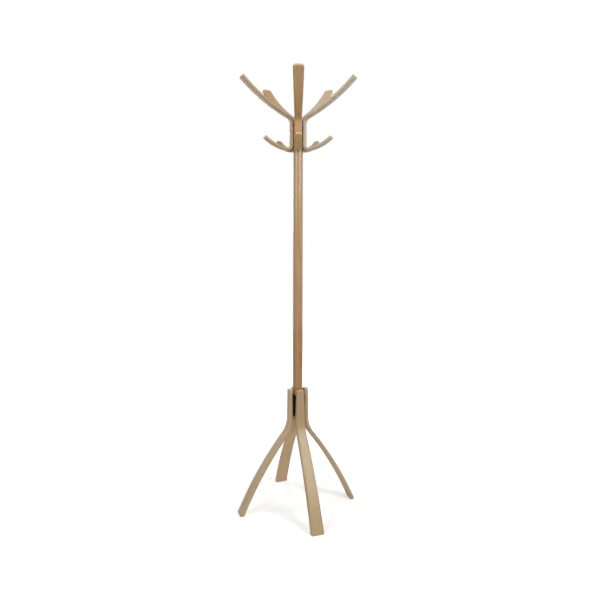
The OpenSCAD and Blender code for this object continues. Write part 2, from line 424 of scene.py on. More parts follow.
def linear(colour: str) -> tuple[float, float, float, float]:
    """Turns an sRGB colour into a linear one, by the sRGB standard's curve.

    Args:
        colour: the sRGB hex value, such as "#c8a070".

    Returns:
        Linear red, green and blue, and an alpha of 1.
    """
    parts = [int(colour[k : k + 2], 16) / 255 for k in (1, 3, 5)]
    red, green, blue = (
        value / 12.92 if value <= 0.04045 else ((value + 0.055) / 1.055) ** 2.4 for value in parts
    )
    return red, green, blue, 1.0


class TrunkAndLightShade(Enum):
    """The colours of beech boards, which differ by trunk and also carry painted light and shade."""

    PALE = "#e0c090"
    STRAW = "#ccb488"
    ASHEN = "#c4b494"
    SAND = "#bca478"
    HONEY = "#c8a06c"
    OCHRE = "#b89050"


def board_colour(count: int, plain: str, *layers: tuple[str, np.ndarray]) -> np.ndarray:
    """Works out the colour of a board at each of its points.

    Formula: each layer is mixed in a straight line with what lies below it, by its share.

    Args:
        count: how many points the board has.
        plain: the board's own colour.
        layers: further colours, each with its share at every point, which is cut off at 0 and 1.

    Returns:
        (count, 3), linear red, green and blue.
    """
    rows = np.tile(linear(plain)[:3], (count, 1))
    for colour, share in layers:
        rows = rows + (np.array(linear(colour)[:3]) - rows) * np.clip(share, 0, 1)[:, None]
    return rows


def add_node(
    tree: bpy.types.NodeTree, kind: str, sockets: dict[str | int, object], **settings: object
) -> bpy.types.Node:
    """Adds one node to a tree, sets its properties and fills its inputs.

    Args:
        tree: the tree that the node goes into.
        kind: the node's type, without the word ShaderNode in front.
        sockets: for each input, a value, or the output socket that it is linked to.
        settings: the node's own properties, such as its operation.

    Returns:
        The new node.
    """
    node = tree.nodes.new("ShaderNode" + kind)
    for name, value in settings.items():
        setattr(node, name, value)
    for key, value in sockets.items():
        if isinstance(value, bpy.types.NodeSocket):
            tree.links.new(value, node.inputs[key])
        else:
            node.inputs[key].default_value = value
    return node


def new_material(name: str) -> tuple[bpy.types.Material, bpy.types.NodeTree]:
    """Makes an empty material.

    Args:
        name: the material's name.

    Returns:
        The material and its node tree.
    """
    material = bpy.data.materials.new(name)
    material.use_nodes = True
    material.node_tree.nodes.clear()
    return material, material.node_tree


# A Mix node that mixes colours has these input and output numbers.
MIX_FACTOR, MIX_A, MIX_B, MIX_RESULT = 0, 6, 7, 2


@dataclass(frozen=True)
class Beech:
    """European beech. Its figure is worked out in board coordinates, so it follows each bend.

    It gives the eye a pale, faintly pink and yellow wood with quiet growth rings, fine fibre
    streaks and the short brown ray flecks that mark beech. Each board brings its own colour, as
    boards from different trunks do, with painted light and shade in it, and the figure's tints
    are laid over it. A painted shade darkens the rounded edges.
    """

    name: str
    cut_end: str
    roughness: float
    varnish: float
    varnish_roughness: float
    rosy_tint: str = "#f8ecf4"
    ring_tint: str = "#d0c0b0"
    fleck_tint: str = "#a89880"
    # Painted shade on the rounded edges, laid on where the arris mark is high.
    edge_shade_tint: str = "#a09898"
    drift_length: float = 260 * MM
    drift_width: float = 17 * MM
    ring_width: float = 4.5 * MM
    fibre_length: float = 45 * MM
    fibre_width: float = 1.6 * MM
    fleck_length: float = 7 * MM
    fleck_width: float = 1.5 * MM
    pith_off: float = 55 * MM
    pore_depth: float = 0.06 * MM

    def build(self) -> bpy.types.Material:
        """Builds the material: figure, then colour, then the varnished surface.

        Returns:
            The material.
        """
        material, tree = new_material(self.name)
        grain = add_node(tree, "Attribute", {}, attribute_name="grain").outputs["Vector"]
        arris = add_node(tree, "Attribute", {}, attribute_name="arris").outputs["Fac"]
        end = add_node(tree, "Attribute", {}, attribute_name="end_grain").outputs["Fac"]
        board = add_node(tree, "Attribute", {}, attribute_name="board").outputs["Color"]

        drift = self._streaks(tree, grain, self.drift_length, self.drift_width, 2.0)
        fibre = self._streaks(tree, grain, self.fibre_length, self.fibre_width, 3.0)
        rings = self._rings(tree, grain)
        flecks = self._flecks(tree, grain)

        # Each layer: its pattern, the values at which it begins and is full, its share where it is
        # full, its tint, and how that is laid over the board's colour.
        layers = (
            (drift, 0.32, 0.68, 0.60, self.rosy_tint, "MULTIPLY"),
            (rings, 0.55, 1.00, 0.40, self.ring_tint, "MULTIPLY"),
            (fibre, 0.45, 0.80, 0.40, self.ring_tint, "MULTIPLY"),
            (flecks, 0.0, 1.0, 0.22, self.fleck_tint, "MULTIPLY"),
            (end, 0.0, 1.0, 0.75, self.cut_end, "MIX"),
            # Painted shade: the rounded edges are darkened, for the shading that falls along them.
            (arris, 0.0, 1.0, 0.15, self.edge_shade_tint, "MULTIPLY"),
        )
        colour = board
        for value, low, high, share, tint, blend in layers:
            factor = add_node(
                tree,
                "MapRange",
                {"Value": value, "From Min": low, "From Max": high, "To Min": 0.0, "To Max": share},
                interpolation_type="SMOOTHSTEP",
            )
            mix = add_node(
                tree,
                "Mix",
                {MIX_FACTOR: factor.outputs[0], MIX_A: colour, MIX_B: linear(tint)},
                data_type="RGBA",
                blend_type=blend,
            )
            colour = mix.outputs[MIX_RESULT]

        smooth, rough = self.roughness - 0.05, self.roughness + 0.09
        gloss = add_node(
            tree,
            "MapRange",
            {"Value": fibre, "From Min": 0.3, "From Max": 0.8, "To Min": smooth, "To Max": rough},
        )
        pores = add_node(tree, "Math", {0: fibre, 1: flecks}, operation="SUBTRACT")
        bump = add_node(
            tree,
            "Bump",
            {"Strength": 0.35, "Distance": self.pore_depth, "Height": pores.outputs[0]},
        )
        shader = add_node(
            tree,
            "BsdfPrincipled",
            {
                "Base Color": colour,
                "Roughness": gloss.outputs[0],
                "IOR": 1.5,
                "Normal": bump.outputs[0],
                "Coat Weight": self.varnish,
                "Coat Roughness": self.varnish_roughness,
                "Coat IOR": 1.5,
            },
        )
        add_node(tree, "OutputMaterial", {"Surface": shader.outputs[0]})
        return material

    @staticmethod
    def _streaks(
        tree: bpy.types.NodeTree,
        grain: bpy.types.NodeSocket,
        length: float,
        width: float,
        detail: float,
    ) -> bpy.types.NodeSocket:
        """Adds soft streaks along the grain.

        Args:
            tree: the material's node tree.
            grain: the board coordinates.
            length: length of a streak.
            width: width of a streak.
            detail: how many finer copies of the pattern are added to it.

        Returns:
            The pattern, from 0 to 1.
        """
        scale = (1 / length, 1 / width, 1 / width)
        at = add_node(tree, "VectorMath", {0: grain, 1: scale}, operation="MULTIPLY")
        cells = {"Vector": at.outputs[0], "Scale": 1.0, "Detail": detail}
        return add_node(tree, "TexNoise", cells).outputs["Fac"]

    def _rings(
        self, tree: bpy.types.NodeTree, grain: bpy.types.NodeSocket
    ) -> bpy.types.NodeSocket:
        """Adds growth rings.

        Formula: saw waves of the distance from a pith line that lies beside the board and wanders.

        Args:
            tree: the material's node tree.
            grain: the board coordinates.

        Returns:
            The pattern, from 0 to 1 across each ring.
        """
        slow = (1 / (2 * self.drift_length), 1 / self.pith_off, 1 / self.pith_off)
        at = add_node(tree, "VectorMath", {0: grain, 1: slow}, operation="MULTIPLY")
        wander = add_node(
            tree, "TexNoise", {"Vector": at.outputs[0], "Scale": 1.0, "Detail": 1.0}
        )
        reach = (0.0, 7 * self.ring_width, 7 * self.ring_width)
        pith = (0.0, 0.2 * self.pith_off, -self.pith_off)
        offset = add_node(
            tree,
            "VectorMath",
            {0: wander.outputs["Color"], 1: reach, 2: pith},
            operation="MULTIPLY_ADD",
        )
        from_pith = add_node(tree, "VectorMath", {0: grain, 1: offset.outputs[0]}, operation="ADD")
        # A Wave Texture of scale 1 has a ring every 2 pi / 20.
        own_width = 2 * math.pi / 20
        wave = add_node(
            tree,
            "TexWave",
            {
                "Vector": from_pith.outputs[0],
                "Scale": own_width / self.ring_width,
                "Distortion": 1.2,
                "Detail": 1.0,
                "Detail Scale": 0.3,
            },
            wave_type="RINGS",
            rings_direction="X",
            wave_profile="SAW",
        )
        return wave.outputs["Fac"]

    def _flecks(
        self, tree: bpy.types.NodeTree, grain: bpy.types.NodeSocket
    ) -> bpy.types.NodeSocket:
        """Adds ray flecks: a short dash in each cell of a stretched cell pattern.

        Real flecks are half as wide; these are as coarse as a view of the whole stand can show.

        Args:
            tree: the material's node tree.
            grain: the board coordinates.

        Returns:
            The pattern, 1 on a fleck.
        """
        scale = (1 / self.fleck_length, 1 / self.fleck_width, 1 / self.fleck_width)
        at = add_node(tree, "VectorMath", {0: grain, 1: scale}, operation="MULTIPLY")
        cells = add_node(tree, "TexVoronoi", {"Vector": at.outputs[0], "Scale": 1.0})
        dash = add_node(
            tree,
            "MapRange",
            {"Value": cells.outputs["Distance"], "From Min": 0.34, "From Max": 0.18},
        )
        return dash.outputs[0]


@dataclass(frozen=True)
class Lacquer:
    """Sprayed matt black lacquer on hardwood: a smooth skin with a faint orange-peel ripple."""

    name: str
    colour: str
    scuffed: str
    roughness: float
    ripple_width: float = 6 * MM
    ripple_depth: float = 0.04 * MM

    def build(self) -> bpy.types.Material:
        """Builds the material from Object coordinates.

        Returns:
            The material.
        """
        material, tree = new_material(self.name)
        place = add_node(tree, "TexCoord", {}).outputs["Object"]
        ripple = add_node(
            tree, "TexNoise", {"Vector": place, "Scale": 1 / self.ripple_width, "Detail": 2.0}
        )
        scuffs = add_node(
            tree,
            "MapRange",
            {"Value": ripple.outputs["Fac"], "From Min": 0.55, "From Max": 0.75, "To Max": 0.5},
        )
        colour = add_node(
            tree,
            "Mix",
            {MIX_FACTOR: scuffs.outputs[0], MIX_A: linear(self.colour), MIX_B: linear(self.scuffed)},
            data_type="RGBA",
        )
        bump = add_node(
            tree,
            "Bump",
            {"Strength": 0.3, "Distance": self.ripple_depth, "Height": ripple.outputs["Fac"]},
        )
        shader = add_node(
            tree,
            "BsdfPrincipled",
            {
                "Base Color": colour.outputs[MIX_RESULT],
                "Roughness": self.roughness,
                "Specular IOR Level": 0.12,
                "Normal": bump.outputs[0],
            },
        )
        add_node(tree, "OutputMaterial", {"Surface": shader.outputs[0]})
        return material


@dataclass(frozen=True)
class TurnedMetal:
    """Machined metal. Fine tool marks run round the turning axis and scatter its reflections."""

    name: str
    bright: str
    dull: str
    roughness: float
    mark_width: float = 0.35 * MM
    patch_width: float = 5 * MM
    mark_depth: float = 0.01 * MM

    def build(self) -> bpy.types.Material:
        """Builds the material from Object coordinates, with the marks stacked along Z.

        Returns:
            The material.
        """
        material, tree = new_material(self.name)
        place = add_node(tree, "TexCoord", {}).outputs["Object"]
        marks_at = add_node(
            tree,
            "VectorMath",
            {0: place, 1: (1 / self.patch_width, 1 / self.patch_width, 1 / self.mark_width)},
            operation="MULTIPLY",
        )
        marks = add_node(
            tree, "TexNoise", {"Vector": marks_at.outputs[0], "Scale": 1.0, "Detail": 2.0}
        )
        patches = add_node(tree, "TexNoise", {"Vector": place, "Scale": 1 / self.patch_width})
        colour = add_node(
            tree,
            "Mix",
            {
                MIX_FACTOR: patches.outputs["Fac"],
                MIX_A: linear(self.bright),
                MIX_B: linear(self.dull),
            },
            data_type="RGBA",
        )
        value, (low, high) = marks.outputs["Fac"], (self.roughness - 0.08, self.roughness + 0.1)
        gloss = add_node(
            tree,
            "MapRange",
            {"Value": value, "From Min": 0.3, "From Max": 0.7, "To Min": low, "To Max": high},
        )
        bump = add_node(
            tree,
            "Bump",
            {"Strength": 0.3, "Distance": self.mark_depth, "Height": marks.outputs["Fac"]},
        )
        shader = add_node(
            tree,
            "BsdfPrincipled",
            {
                "Base Color": colour.outputs[MIX_RESULT],
                "Metallic": 1.0,
                "Roughness": gloss.outputs[0],
                "Normal": bump.outputs[0],
            },
        )
        add_node(tree, "OutputMaterial", {"Surface": shader.outputs[0]})
        return material


class Slot(Enum):
    """The record's material slots."""

    TURNED_BEECH = "turned_beech"
    BENT_BEECH = "bent_beech"
    DOWEL_BEECH = "dowel_beech"
    BLACK_LACQUER = "black_lacquer"
    ZINC_STEEL = "zinc_steel"
    INSERT_BRASS = "insert_brass"


FINISHES: dict[Slot, Beech | Lacquer | TurnedMetal] = {
    Slot.BENT_BEECH: Beech(
        name="steam_bent_beech_satin_varnish",
        cut_end="#d3c095",
        roughness=0.44,
        varnish=0.35,
        varnish_roughness=0.2,
    ),
    Slot.TURNED_BEECH: Beech(
        name="turned_beech_satin_varnish",
        cut_end="#c4a478",
        roughness=0.36,
        varnish=0.8,
        varnish_roughness=0.1,
    ),
    Slot.DOWEL_BEECH: Beech(
        name="raw_beech",
        cut_end="#b89468",
        roughness=0.7,
        varnish=0.0,
        varnish_roughness=0.5,
        fleck_length=3 * MM,
        fleck_width=0.7 * MM,
    ),
    Slot.BLACK_LACQUER: Lacquer(
        name="black_matt_lacquer", colour="#080706", scuffed="#100e0c", roughness=0.7
    ),
    Slot.ZINC_STEEL: TurnedMetal(
        name="zinc_plated_steel", bright="#c9ccce", dull="#a9adb0", roughness=0.32
    ),
    Slot.INSERT_BRASS: TurnedMetal(
        name="turned_brass", bright="#d9b562", dull="#b8913f", roughness=0.28
    ),
}


# ------------------------------------------------------------------ pieces


def around(azimuth: float) -> Matrix:
    """Returns the turn about the pole's axis that brings +X to an azimuth."""
    return Matrix.Rotation(azimuth, 4, "Z")


def evenly(count: int, turn_deg: float = 0) -> np.ndarray:
    """Returns evenly spaced azimuths, of which the first is turned that far from the front."""
    return math.radians(turn_deg - 90) + np.arange(count) * 2 * math.pi / count


class Workshop:
    """Makes Blender objects from surfaces, and gives each its finish and its place in the frame."""

    def __init__(self) -> None:
        """Builds every finish once."""
        self.materials = {slot: finish.build() for slot, finish in FINISHES.items()}

    def make(self, name: str, surface: Surface, slot: Slot, node: str) -> bpy.types.Object:
        """Turns a surface into a piece that stands for a CAD node.

        Args:
            name: the piece's name.
            surface: its shape, in the frame's own place.
            slot: the material slot that it takes its finish from.
            node: the CAD node that it replaces.

        Returns:
            The new object.
        """
        surface = surface.facing_out()
        mesh = bpy.data.meshes.new(name)
        # A face with a corner that repeats the next one is a triangle.
        doubled = surface.faces == np.roll(surface.faces, -1, axis=1)
        short = doubled.any(axis=1)
        triangles = surface.faces[short][~doubled[short]].reshape(-1, 3)
        faces = surface.faces[~short].tolist() + triangles.tolist()
        mesh.from_pydata(surface.points.tolist(), [], faces)
        for mark, values in surface.marks.items():
            kind, key = ("FLOAT", "value") if values.ndim == 1 else ("FLOAT_VECTOR", "vector")
            layer = mesh.attributes.new(mark, kind, "POINT")
            layer.data.foreach_set(key, np.ascontiguousarray(values, dtype=np.float32).reshape(-1))
        mesh.polygons.foreach_set("use_smooth", np.ones(len(mesh.polygons), dtype=bool))
        mesh.set_sharp_from_angle(angle=math.radians(35))
        mesh.validate()
        mesh.update()
        piece = bpy.data.objects.new(name, mesh)
        bpy.context.scene.collection.objects.link(piece)
        mesh.materials.append(self.materials[slot])
        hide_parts(node)
        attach(piece, BODY)
        log.info("%s: %d faces, %s", name, len(mesh.polygons), slot.value)
        return piece

    def make_ring(
        self,
        names: tuple[str, ...],
        strip: Surface,
        boards: tuple[TrunkAndLightShade, ...],
        blanks: np.ndarray,
        turn_deg: float = 0,
        layers: tuple[tuple[str, np.ndarray], ...] = (),
    ) -> None:
        """Makes equal bent strips evenly round the pole, each from its own piece of wood.

        Args:
            names: the CAD nodes that they replace, from the front round by the right.
            strip: one strip, which points to +X.
            boards: each strip's colour, with painted light and shade in it.
            blanks: how far along the log each strip comes from.
            turn_deg: how far the first strip is turned from the front.
            layers: further colours and their shares, as board_colour takes them.
        """
        for name, azimuth, board, blank in zip(names, evenly(len(names), turn_deg), boards, blanks):
            turned = strip.moved(around(azimuth))
            marks = {
                **turned.marks,
                "grain": turned.marks["grain"] + np.array([blank, 0, 0]),
                "board": board_colour(len(turned.points), board.value, *layers),
            }
            piece = Surface(turned.points, turned.faces, marks)
            self.make(f"{name}_strip", piece, Slot.BENT_BEECH, name)


@dataclass
class HookRing:
    """The five C-shaped hooks round the top of the pole."""

    names: tuple[str, ...] = (
        "hook_front",
        "hook_right",
        "hook_back_right",
        "hook_back_left",
        "hook_left",
    )
    thickness: float = 12.5 * MM
    width: float = 29 * MM
    back: float = 80 * MM
    arris: float = 4 * MM
    tip: BoardEnd = BoardEnd(corner=9.5 * MM, arris=1.6 * MM)
    upper_bend: float = 28 * MM
    upper_rise_deg: float = 26.5
    upper_tip_rise_deg: float = 47
    upper_length: float = 228 * MM
    upper_tip_width: float = 40.5 * MM
    lower_bend: float = 18 * MM
    lower_rise_deg: float = 10
    lower_tip_rise_deg: float = 42.5
    lower_length: float = 100 * MM
    lower_tip_width: float = 26 * MM
    blank_apart: float = 0.61
    # The width of the crease by the pole that is darkened with painted shade, and that shade's colour.
    crease: float = 7 * MM
    painted_shade: str = "#44260c"
    # Each hook's colour, with painted light and shade in it: lighter or darker by how the lamps fall on
    # that hook.
    boards: tuple[TrunkAndLightShade, ...] = (TrunkAndLightShade.HONEY, TrunkAndLightShade.ASHEN, TrunkAndLightShade.STRAW, TrunkAndLightShade.OCHRE, TrunkAndLightShade.SAND)

    def path(self) -> BentPath:
        """Lays out the middle line of a hook.

        Returns:
            The path from the lower tip to the upper tip.
        """
        lower_turn = 90 + self.lower_rise_deg
        upper_turn = 90 - self.upper_rise_deg
        return BentPath(
            180 + self.lower_tip_rise_deg,
            [
                (self.lower_length, self.lower_rise_deg - self.lower_tip_rise_deg),
                (self.lower_bend * math.radians(lower_turn), -lower_turn),
                (self.back, 0),
                (self.upper_bend * math.radians(upper_turn), -upper_turn),
                (self.upper_length, self.upper_tip_rise_deg - self.upper_rise_deg),
            ],
        )

    def flat_half_width(self, path: BentPath) -> Callable[[np.ndarray], np.ndarray]:
        """Returns half the strip's width as a function of the length along it.

        Formula: the width is the same as far as both bends reach, and from there to a tip it
        grows evenly with the distance from the pole.

        Args:
            path: the hook's middle line.

        Returns:
            A function that gives the half width at each length along the strip.
        """
        radius_at = path.at(path.starts, np.zeros(len(path.starts)))[0]

        def half(along: np.ndarray) -> np.ndarray:
            """Works out half the width.

            Args:
                along: lengths along the strip.

            Returns:
                Half the width at each of them.
            """
            radius = path.at(along, np.zeros_like(along))[0]
            lower = np.clip((radius - radius_at[1]) / (radius_at[0] - radius_at[1]), 0, 1)
            upper = np.clip((radius - radius_at[4]) / (radius_at[5] - radius_at[4]), 0, 1)
            on_lower = along < path.starts[2]
            share = np.where(on_lower, lower, upper)
            tip = np.where(on_lower, self.lower_tip_width, self.upper_tip_width)
            return (self.width + (tip - self.width) * share) / 2

        return half

    def hook(self, seat: float, low: float) -> Surface:
        """Bends one hook that points to +X.

        Args:
            seat: distance of its back from the pole's axis.
            low: height of its lowest point.

        Returns:
            The hook, with the marks of its flat board.
        """
        path = self.path()
        length = path.starts[-1]
        stations = path.stations(self.tip.corner, length - self.tip.corner)
        flat = rounded_board(
            stations, self.flat_half_width(path), self.thickness, self.arris, (self.tip, self.tip)
        )
        radius, height = path.at(flat.points[:, 0], flat.points[:, 2])
        points = np.stack(
            [radius - radius.min() + seat, flat.points[:, 1], height - height.min() + low], axis=-1
        )
        return Surface(points, flat.faces, flat.marks)

    def build(self, shop: Workshop) -> None:
        """Makes the five hooks.

        Formula: painted shade darkens the crease between hook and pole; its share is 1 at the seat
        and falls evenly to 0 at the width of the crease from it.

        Args:
            shop: makes the pieces.
        """
        low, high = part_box(self.names[0])
        seat = -high.y
        hook = self.hook(seat, low.z)
        # Painted shade: each hook darkens towards the pole, where the crease between them lies in
        # shadow.
        shade_in_crease = (self.crease - hook.points[:, 0] + seat) / self.crease
        blanks = self.blank_apart * np.arange(len(self.names))
        layers = ((self.painted_shade, shade_in_crease),)
        shop.make_ring(self.names, hook, self.boards, blanks, layers=layers)


@dataclass
class LegSet:
    """The four bent legs round the hub."""

    names: tuple[str, ...] = ("leg_front", "leg_right", "leg_back", "leg_left")
    turn_deg: float = 18
    thickness: float = 17 * MM
    seat: float = 24.5 * MM
    straight: float = 121 * MM
    knee: float = 117 * MM
    knee_slope_deg: float = 52.5
    bow: float = 1480 * MM
    top_width: float = 30 * MM
    knee_width: float = 39.5 * MM
    foot_width: float = 53 * MM
    arris: float = 5.5 * MM
    top: BoardEnd = BoardEnd(corner=7.5 * MM, arris=2 * MM)
    foot: BoardEnd = BoardEnd(corner=6 * MM, arris=2 * MM)
    run_out: float = 60 * MM
    blank_apart: float = 0.73
    # Each leg's colour, with painted light in it: the back leg is paler, for light that doesn't reach
    # its underside.
    boards: tuple[TrunkAndLightShade, ...] = (TrunkAndLightShade.SAND, TrunkAndLightShade.STRAW, TrunkAndLightShade.PALE, TrunkAndLightShade.STRAW)

    def __post_init__(self) -> None:
        """Takes the legs' height from the frame and works out where a leg meets the floor."""
        self.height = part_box(self.names[0])[1].z
        slope = math.radians(self.knee_slope_deg)
        knee_turn = math.pi / 2 - slope
        drop = self.knee * math.sin(knee_turn)
        self.bow_centre = self.height - self.straight - drop - self.bow * math.cos(slope)
        self.bow_start = math.pi / 2 - slope
        self.before_bow = self.straight + self.knee * knee_turn
        self.length = float(self.floor_at(np.zeros(1))[0])
        bow_turn = math.degrees((self.length - self.before_bow) / self.bow)
        self.path = BentPath(
            -90,
            [
                (self.straight, 0),
                (self.knee * knee_turn, 90 - self.knee_slope_deg),
                (self.length - self.before_bow, -bow_turn),
            ],
        )

    def floor_at(self, off: np.ndarray) -> np.ndarray:
        """Returns the length along a leg at which it meets the floor.

        Formula: a line at a distance off from the middle is an arc of radius bow + off, and
        meets the floor where that radius times the sine of its angle equals the depth of the
        floor below the arc's centre.

        Args:
            off: distances from the middle line, outwards from the arc's centre.

        Returns:
            The length along the middle line at each of them.
        """
        angle = np.arcsin(-self.bow_centre / (self.bow + off))
        return self.before_bow + self.bow * (self.bow_start - angle)

    def half_width(self, along: np.ndarray) -> np.ndarray:
        """Returns half the leg's width at each length along it.

        Formula: it grows evenly from the top end to the knee, and then with the distance from
        the pole's axis as far as the foot.

        Args:
            along: lengths along the leg.

        Returns:
            Half the width at each of them.
        """
        radius = self.path.at(along, np.zeros_like(along))[0]
        foot = self.path.at(np.array([self.length]), np.zeros(1))[0][0]
        start = self.thickness / 2
        upper = np.clip(along / self.straight, 0, 1)
        lower = np.clip((radius - start) / (foot - start), 0, None)
        return (
            self.top_width
            + (self.knee_width - self.top_width) * upper
            + (self.foot_width - self.knee_width) * lower
        ) / 2

    def leg(self) -> Surface:
        """Bends one leg that points to +X, and cuts it off at the floor.

        Formula: over the last stretch, each line of the board is stretched or shrunk along its
        length so that it ends on the floor.

        Returns:
            The leg, with the marks of its flat board.
        """
        stations = self.path.stations(self.top.corner, self.length - self.foot.corner)
        flat = rounded_board(
            stations, self.half_width, self.thickness, self.arris, (self.top, self.foot)
        )
        along, across, off = flat.points.T
        share = np.clip((along - (self.length - self.run_out)) / self.run_out, 0, 1)
        along = along + share * (self.floor_at(off) - self.length)
        radius, height = self.path.at(along, off)
        radius = radius + self.seat + self.thickness / 2
        points = np.stack([radius, across, height - height.min()], axis=-1)
        return Surface(points, flat.faces, flat.marks)

    def build(self, shop: Workshop) -> None:
        """Makes the four legs."""
        blanks = -self.blank_apart * np.arange(1, len(self.names) + 1)
        shop.make_ring(self.names, self.leg(), self.boards, blanks, self.turn_deg)


@dataclass
class Pole:
    """The turned pole, with flats for the hooks and a tenon at its foot."""

    columns: int = 180
    body_rows: int = 25
    body_from: float = 40 * MM
    body_short: float = 2 * MM
    top_round: float = 2 * MM
    flat_length: float = 83 * MM
    tenon: float = 12 * MM
    tenon_length: float = 44 * MM
    tenon_chamfer: float = 1.5 * MM
    shoulder_chamfer: float = 0.5 * MM
    bore: float = 6 * MM
    bore_depth: float = 26 * MM
    hooks: int = 5
    # The pole's colour: fair at the top, turning to a painted shade low down, where less light and sheen
    # reach it.
    fair: str = "#b89868"
    low_painted_shade: str = "#b08048"
    # Painted shade between the hooks, where the pole lies in their shadow.
    painted_shade: str = "#44260c"
    fair_above: float = 1.45
    deep_below: float = 0.5
    gap_fade: float = 30 * MM

    def profile(self, low: float, high: float, radius: float) -> tuple[np.ndarray, np.ndarray]:
        """Lays out the turned pole's profile, from the bore in its foot to its top.

        Args:
            low: height of the tenon's end.
            high: height of the pole's top.
            radius: radius of the pole.

        Returns:
            The rows of [radius, height] below the flats, and those that the flats cut.
        """
        shoulder, flats_from = low + self.tenon_length, high - self.flat_length
        foot = [
            [0, low + self.bore_depth],
            [self.bore, low + self.bore_depth],
            [self.bore, low],
            [self.tenon - self.tenon_chamfer, low],
            [self.tenon, low + self.tenon_chamfer],
            [self.tenon, shoulder],
            [radius - self.shoulder_chamfer, shoulder],
            [radius, shoulder + self.shoulder_chamfer],
        ]
        body = np.linspace(shoulder + self.body_from, flats_from - self.body_short, self.body_rows)
        step = [[radius, flats_from]]
        whole = np.concatenate([foot, np.stack([np.full_like(body, radius), body], axis=-1), step])
        cut = np.concatenate([step, round_over(radius, high, self.top_round, top=True), [[0, high]]])
        return whole, cut

    def build(self, shop: Workshop) -> None:
        """Turns the pole and planes its flats.

        Formulas: on the flats the radius is the smaller of the turned radius and
        seat / cos(angle from the flat's middle). The colour turns evenly from fair to a painted
        shade on the way down, for the light and sheen that fall off down the pole, and into a
        darker painted shade between the hooks, where they cast shadow, from their lowest point
        upwards.

        Args:
            shop: makes the pieces.
        """
        low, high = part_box("pole")
        hook_low, hook_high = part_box("hook_front")
        radius, seat = (high.x - low.x) / 2, -hook_high.y
        whole, cut = self.profile(low.z, high.z, radius)
        angle = np.linspace(0, 2 * math.pi, self.columns, endpoint=False)
        step = 2 * math.pi / self.hooks
        from_flat = (angle + math.pi / 2 + step / 2) % step - step / 2
        planed = np.minimum(cut[:, :1], seat / np.cos(from_flat))
        turned = np.repeat(whole[:, :1], self.columns, axis=1)
        heights = np.concatenate([whole[:, 1], cut[:, 1]])
        pole = lathe(np.concatenate([turned, planed]), heights)
        x, y, z = pole.points.T
        # Painted shade: darker and more saturated towards the bottom.
        depth = (self.fair_above - z) / (self.fair_above - self.deep_below)
        # Painted shade: darker between the hooks, rising from their lowest point.
        shade_in_gap = (z - hook_low.z) / self.gap_fade
        level = np.abs(z - high.z) < MM / 2
        edge = np.abs(np.hypot(x, y) - radius) < 0.8 * self.top_round
        pole.marks = {
            "grain": pole.points[:, [2, 0, 1]],
            "arris": (level & edge).astype(float),
            "end_grain": level.astype(float),
            "board": board_colour(len(z), self.fair, (self.low_painted_shade, depth), (self.painted_shade, shade_in_gap)),
        }
        shop.make("pole_turning", pole, Slot.TURNED_BEECH, "pole")


@dataclass
class Hub:
    """The black octagonal core that the legs and the pole are joined to."""

    turn_deg: float = 18
    sides: int = 8
    across: float = 49 * MM
    chamfer: float = 10 * MM
    arris: float = 1.2 * MM
    mortise: float = 12.1 * MM
    mortise_depth: float = 45 * MM
    bolt_hole: float = 4.5 * MM
    recess: float = 9 * MM
    recess_depth: float = 12 * MM
    columns: int = 192
    corner_sharpness: float = 70

    def outline(self, angle: np.ndarray) -> np.ndarray:
        """Returns the distance of the hub's side from its axis.

        Formula: each of the sides lies at apothem / cos(angle from its middle), and a
        high power mean of them stands for the nearest one, with the corners slightly rounded.

        Args:
            angle: azimuths.

        Returns:
            The distance at each of them.
        """
        half = self.across / 2
        apothems = np.tile([half, (2 * half - self.chamfer) / math.sqrt(2)], self.sides // 2)
        middles = np.radians(self.turn_deg) + np.arange(self.sides) * 2 * math.pi / self.sides
        facing = np.clip(np.cos(angle[None, :] - middles[:, None]), 0, None) / apothems[:, None]
        return (facing**self.corner_sharpness).sum(axis=0) ** (-1 / self.corner_sharpness)

    def build(self, shop: Workshop) -> None:
        """Shapes the hub as a ring: its outside, the mortise, the bolt's hole and its recess.

        Args:
            shop: makes the pieces.
        """
        low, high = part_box("hub")
        angle = np.linspace(0, 2 * math.pi, self.columns, endpoint=False)
        outline = self.outline(angle)
        quarter = np.linspace(0, math.pi / 2, 5)
        inset = self.arris * (1 - np.cos(quarter))
        past = self.arris * np.sin(quarter) - self.arris
        outer = [(outline - a, high.z + b) for a, b in zip(inset, past)]
        floor_z = high.z - self.mortise_depth
        inner = [
            (self.mortise + self.arris / 2, high.z),
            (self.mortise, high.z - self.arris / 2),
            (self.mortise, floor_z),
            (self.bolt_hole, floor_z),
            (self.bolt_hole, low.z + self.recess_depth),
            (self.recess, low.z + self.recess_depth),
            (self.recess, low.z + self.arris / 2),
            (self.recess + self.arris / 2, low.z),
        ]
        under = [(outline - a, low.z - b) for a, b in zip(inset, past)][::-1]
        rows = outer + [(np.full_like(outline, r), z) for r, z in inner] + under
        radius = np.stack([r for r, _ in rows])
        height = np.array([z for _, z in rows])
        shop.make("hub_block", lathe(radius, height, closed=True), Slot.BLACK_LACQUER, "hub")


